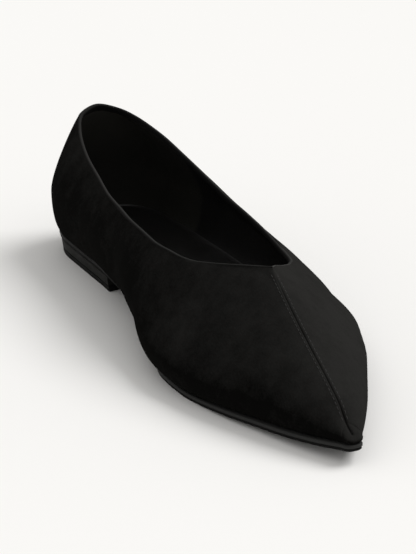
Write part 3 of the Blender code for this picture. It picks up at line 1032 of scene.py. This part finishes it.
class FLAT_OT_seam(bpy.types.Operator):
    """Rows of small stitches beside the vamp seam"""

    bl_idname = "flat.seam"
    bl_label = "Seam stitches"

    CLEAR_OF_THROAT, CLEAR_OF_TOE = 3 * MM, 6 * MM
    SIDES, RINGS = 6, 7
    # Thickness at a stitch's tips, its rise in the middle and how deep it lies, in shares
    # of the thread, and the part of a sine that bends it
    TIP, RISE, SUNK = 0.35, 0.35, 0.2
    ENDS = (0.04, 0.96)

    def execute(self, context):
        s = context.scene.flat_last
        upper = get_upper(context)
        thread = make_thread(context.scene.flat_finish)
        points, faces = [], []
        for side in (INNER, OUTER):
            line, normal = self.row(s, upper, side)
            self.sew(s, line, normal, points, faces)
        dress(to_object("vamp_seam_stitches", points, faces, thread), "black_suede")
        return {"FINISHED"}

    def row(self, s, upper, side):
        """A line on the suede beside the seam, with the surface's normals."""
        columns = range(1, upper.seam_columns + 1)
        if side == OUTER:
            columns = [upper.columns - 1 - c for c in columns]
        line, normals = [], []
        for c in columns:
            down = upper.index[::-1, c]
            run = distance_run(upper.points[down])
            line.append(read_line(s.stitch_offset, run, upper.points[down]))
            normals.append(read_line(s.stitch_offset, run, upper.normal[down]))
        return np.array(line)[::-1], unit(np.array(normals)[::-1])

    def sew(self, s, line, normal, points, faces):
        """Adds the stitches of one row to points and faces."""
        run = distance_run(line)
        start = self.CLEAR_OF_THROAT
        while start + s.stitch_length < run[-1] - self.CLEAR_OF_TOE:
            along = np.linspace(0, 1, self.RINGS)
            at = start + along * s.stitch_length
            centre = read_line(at, run, line)
            up = unit(read_line(at, run, normal))
            way = unit(np.gradient(centre, axis=0))
            across = unit(np.cross(way, up))
            bulge = np.sin(np.pi * np.clip(along, *self.ENDS))
            first = len(points)
            for k in range(len(along)):
                radius = s.thread / 2 * (self.TIP + (1 - self.TIP) * bulge[k] ** 0.5)
                lift = s.thread * (self.RISE * bulge[k] - self.SUNK)
                middle = centre[k] + up[k] * lift
                for turn in np.linspace(0, 2 * np.pi, self.SIDES, endpoint=False):
                    points.append(
                        middle + radius * (across[k] * math.cos(turn) + up[k] * math.sin(turn))
                    )
            faces += ring_faces(self.RINGS, self.SIDES, first)
            end = len(points) - self.SIDES
            faces.append(tuple(range(first, first + self.SIDES))[::-1])
            faces.append(tuple(range(end, end + self.SIDES)))
            start += s.stitch_pitch


class FLAT_OT_sock(bpy.types.Operator):
    """Satin leather sock that fills the inside from wall to wall"""

    bl_idname = "flat.sock"
    bl_label = "Sock"

    DISH, TURN_UP = 0.5 * MM, 0.7 * MM
    # Share of the length that the heel takes up, rows there and in front, points across
    HEEL_SHARE, HEEL_ROWS, FRONT_ROWS, ACROSS = 0.1, 25, 90, 25
    UNDERSIDE_SHARE = 0.4
    # Height above the sock at which the lining's line is read
    ABOVE = 0.2 * MM

    def execute(self, context):
        s = context.scene.flat_last
        upper = get_upper(context)
        last = upper.last
        leather = make_sock(context.scene.flat_finish)
        heel = np.linspace(0, self.HEEL_SHARE, self.HEEL_ROWS)
        shares = np.concatenate([heel, np.linspace(self.HEEL_SHARE, 1, self.FRONT_ROWS)[1:]])
        rims = {side: self.wall_line(s, last, upper, side, shares) for side in (INNER, OUTER)}
        across = 0.5 - 0.5 * np.cos(np.linspace(0, np.pi, self.ACROSS))
        top, low = [], []
        for k in range(len(shares)):
            left, right = rims[INNER][k], rims[OUTER][k]
            for a in across:
                plan = left + (right - left) * a
                middle = 1 - (2 * a - 1) ** 2
                y = last.shift[1] - plan[1]
                base = last.sole_top(y) + s.gap
                dish = self.DISH * middle**0.6
                turn = self.TURN_UP * abs(2 * a - 1) ** 14
                top.append((plan[0], plan[1], base + s.insole_thickness - dish + turn))
                low.append((plan[0], plan[1], base + self.UNDERSIDE_SHARE * s.insole_thickness))
        width = len(across)
        count = len(top)
        faces = []
        for k in range(len(shares) - 1):
            for i in range(width - 1):
                a = k * width + i
                quad = (a, a + 1, a + 1 + width, a + width)
                faces.append(quad)
                faces.append(tuple(count + q for q in reversed(quad)))
            for a, b in ((k * width, (k + 1) * width), ((k + 2) * width - 1, (k + 1) * width - 1)):
                faces.append((a, b, b + count, a + count))
        for i in range(width - 1):
            for a in (i, (len(shares) - 1) * width + i):
                faces.append((a, a + 1, a + 1 + count, a + count))
        dress(to_object("sock", top + low, faces, leather), "black_sock_leather", "insole")
        return {"FINISHED"}

    def wall_line(self, s, last, upper, side, shares):
        """Where the sock meets the lining, from the heel forwards, as plan points."""
        half = upper.half_columns
        columns = np.arange(half - 1, 2 * half - 1)
        if side == INNER:
            columns = np.arange(half - 1, -1, -1)
        lining = upper.deep(s.wall)
        feet, spots = [], []
        for c in columns:
            wall = lining[upper.index[:, c]]
            rise = wall[:, 2] - last.sole_top(last.shift[1] - wall[:, 1])
            level = s.gap + s.insole_thickness + self.ABOVE
            k = int(np.argmax(rise >= level))
            if k == 0:
                spots.append(wall[0, :2])
            else:
                t = (level - rise[k - 1]) / (rise[k] - rise[k - 1])
                spots.append(wall[k - 1, :2] + t * (wall[k, :2] - wall[k - 1, :2]))
            feet.append(upper.foot[c])
        reach = last.share_at(side, s.insole_length)
        return read_line(shares * reach, np.array(feet), np.array(spots))


def ledge(side, foot):
    """How far the sole's inner edge is drawn out beyond the last from the ball to the toe."""
    if side == OUTER:
        return 0.0
    return LEDGE * np.interp(foot, LEDGE_AT, (0.0, 1.0, 1.0, 0.0))


def edge_row(last, side, foot, profile):
    """The profile's points at one place of the sole's edge, each with its height."""
    made = []
    for inset, height in profile:
        spots, _ = last.edge(side, np.array([foot]), inset - ledge(side, foot))
        made.append((spots[0], height))
    return made


def between(first, second, across):
    """Points on the way from first to second, at first's height."""
    return [(first[0] + (second[0] - first[0]) * a, first[1]) for a in across]


def layer(name, last, material, reach, profile, stations, hollow=0.0):
    """A flat layer of the sole or heel. The profile goes from the top's middle over the edge."""
    fine = np.linspace(0, 1, END_STATIONS) ** 2
    shares = np.concatenate(
        [
            HEEL_END * fine,
            np.linspace(HEEL_END, 1 - TOE_END, stations)[1:-1],
            1 - TOE_END * fine[::-1],
        ]
    )
    across = np.linspace(0, 1, LAYER_ACROSS + 2)[1:-1]
    points = []
    for share in shares:
        inner = edge_row(last, INNER, share * last.share_at(INNER, reach), profile)
        outer = edge_row(last, OUTER, share * last.share_at(OUTER, reach), profile)
        below = between(inner[-1], outer[-1], across)
        above = between(outer[0], inner[0], across)
        row = inner + below + outer[::-1] + above
        left, right = inner[0][0], outer[0][0]
        span = max(np.linalg.norm(right - left), 1e-9)
        made = []
        for spot, height in row:
            a = np.clip((spot - left) @ (right - left) / span**2, 0, 1)
            y = spot[1] - hollow * (1 - (2 * a - 1) ** 2) * share**3
            made.append((spot[0], y, height(y)))
        points.append(made)
    grid = last.to_world(np.array(points))
    rows, columns = grid.shape[:2]
    end = (rows - 1) * columns
    faces = ring_faces(rows, columns)
    faces += [tuple(range(columns)), tuple(range(end, end + columns))[::-1]]
    return to_object(name, grid.reshape(-1, 3), faces, material)


class FLAT_OT_outsole(bpy.types.Operator):
    """Outsole with a rounded, dressed edge"""

    bl_idname = "flat.outsole"
    bl_label = "Outsole"

    # Sections from the middle of the top over the edge to the middle of the underside:
    # millimetres inside the sole's edge, and height as a share of the sole's thickness
    EDGE = (
        (1.6, 1.0), (0.6, 1.0), (0.2, 0.95), (0.0, 0.82),
        (0.0, 0.60), (0.1, 0.50), (0.5, 0.46), (1.6, 0.46),
    )
    TREAD = ((1.9, 0.44), (0.6, 0.44), (0.35, 0.38), (0.30, 0.14), (0.6, 0.0), (1.9, 0.0))

    def execute(self, context):
        s = context.scene.flat_last
        last = Last(s)
        for name, section, make in (
            ("outsole_edge", self.EDGE, make_sole_finish),
            ("outsole_tread", self.TREAD, make_tread_finish),
        ):
            profile = [
                (inset * MM, lambda y, share=share: last.underside(y) + s.sole_thickness * share)
                for inset, share in section
            ]
            material = make(context.scene.flat_finish)
            piece = layer(name, last, material, s.length, profile, SOLE_STATIONS)
            dress(piece, "dark_sole_edge", "outsole")
        return {"FINISHED"}


class FLAT_OT_heel(bpy.types.Operator):
    """Low heel: the stack and the wearing piece under it"""

    bl_idname = "flat.heel"
    bl_label = "Heel"

    # The eased edge reaches in this far, and turns at these shares of it down and in
    EASE, EASE_DOWN, EASE_IN = 0.25 * MM, 0.4, 0.3
    FLAT_FROM = 1.5 * MM

    def execute(self, context):
        s = context.scene.flat_last
        finish = context.scene.flat_finish
        low = s.lift_thickness + s.gap
        stack = self.slab(s, "heel_stack", make_heel_finish(finish), s.heel_height - s.gap, low)
        dress(stack, "dark_heel_stack", "heel_block")
        rubber = make_lift_finish(finish)
        lift = self.slab(s, "heel_wearing_piece", rubber, s.lift_thickness, 0.0)
        dress(lift, "black_top_lift", "heel_top_lift")
        return {"FINISHED"}

    def slab(self, s, name, material, high, low):
        """A tapered slab with eased edges between two heights."""
        down, into = self.EASE_DOWN * self.EASE, self.EASE_IN * self.EASE
        profile = []
        for level, extra in (
            (high, self.FLAT_FROM),
            (high, self.EASE),
            (high - down, into),
            (low + down, into),
            (low, self.EASE),
            (low, self.FLAT_FROM),
        ):
            inset = s.heel_inset + s.heel_taper * (1 - level / s.heel_height) + extra
            profile.append((inset, lambda y, level=level: level))
        last = Last(s)
        return layer(name, last, material, s.heel_length, profile, HEEL_STATIONS, s.heel_hollow)


class FLAT_OT_stage(bpy.types.Operator):
    """Pale floor, soft light and the camera"""

    bl_idname = "flat.stage"
    bl_label = "Stage"

    def execute(self, context):
        stage = context.scene.flat_stage
        self.floor(stage)
        self.light(context, stage)
        self.camera(context, stage)
        context.scene.view_settings.view_transform = "Standard"
        return {"FINISHED"}

    def floor(self, stage):
        data = bpy.data.meshes.new("studio_floor")
        corners = [(x * FLOOR_HALF, y * FLOOR_HALF, 0) for x, y in FLOOR_CORNERS]
        data.from_pydata(corners, [], [(0, 1, 2, 3)])
        data.materials.append(make_floor_finish(stage))
        floor = bpy.data.objects.new("studio_floor", data)
        bpy.context.scene.collection.objects.link(floor)

    def light(self, context, stage):
        world = bpy.data.worlds.new("studio_light")
        world.use_nodes = True
        sky = world.node_tree.nodes["Background"]
        sky.inputs["Color"].default_value = (*stage.sky, 1.0)
        sky.inputs["Strength"].default_value = stage.sky_strength
        context.scene.world = world
        data = bpy.data.lights.new("key_light", "SUN")
        data.energy = stage.key_strength
        data.angle = stage.key_angle
        key = bpy.data.objects.new("key_light", data)
        forward = Vector(stage.aim) - Vector(stage.camera_place)
        forward.z = 0
        forward.normalize()
        right = forward.cross(Vector((0, 0, 1)))
        aside, behind, above = KEY_FROM
        source = right * aside + forward * behind + Vector((0, 0, above))
        key.rotation_mode = "QUATERNION"
        key.rotation_quaternion = source.to_track_quat("Z", "Y")
        context.scene.collection.objects.link(key)

    def camera(self, context, stage):
        data = bpy.data.cameras.new("photo_camera")
        data.lens = stage.lens
        camera = bpy.data.objects.new("photo_camera", data)
        camera.location = stage.camera_place
        camera.rotation_mode = "QUATERNION"
        way = Vector(stage.aim) - Vector(stage.camera_place)
        camera.rotation_quaternion = way.to_track_quat("-Z", "Y")
        context.scene.collection.objects.link(camera)
        context.scene.camera = camera


class FLAT_PT_panel(bpy.types.Panel):
    """Lists the shoe's pieces and its stage"""

    bl_label = "Pointed suede flat"
    bl_idname = "FLAT_PT_panel"
    bl_space_type = "VIEW_3D"
    bl_region_type = "UI"
    bl_category = "Flat"

    def draw(self, context):
        for kind in OPERATORS:
            self.layout.operator(kind.bl_idname)


GROUPS = (FLAT_PG_last, FLAT_PG_finish, FLAT_PG_stage)
OPERATORS = (
    FLAT_OT_upper,
    FLAT_OT_lining,
    FLAT_OT_collar,
    FLAT_OT_seam,
    FLAT_OT_sock,
    FLAT_OT_outsole,
    FLAT_OT_heel,
    FLAT_OT_stage,
)


def register():
    for kind in (*GROUPS, *OPERATORS, FLAT_PT_panel):
        bpy.utils.register_class(kind)
    scene = bpy.types.Scene
    scene.flat_last = bpy.props.PointerProperty(type=FLAT_PG_last)
    scene.flat_finish = bpy.props.PointerProperty(type=FLAT_PG_finish)
    scene.flat_stage = bpy.props.PointerProperty(type=FLAT_PG_stage)


def unregister():
    for name in ("flat_last", "flat_finish", "flat_stage"):
        delattr(bpy.types.Scene, name)
    for kind in reversed((*GROUPS, *OPERATORS, FLAT_PT_panel)):
        bpy.utils.unregister_class(kind)


def main():
    register()
    for operator in (
        bpy.ops.flat.upper,
        bpy.ops.flat.lining,
        bpy.ops.flat.collar,
        bpy.ops.flat.seam,
        bpy.ops.flat.sock,
        bpy.ops.flat.outsole,
        bpy.ops.flat.heel,
        bpy.ops.flat.stage,
    ):
        operator()


if __name__ == "__main__":
    main()
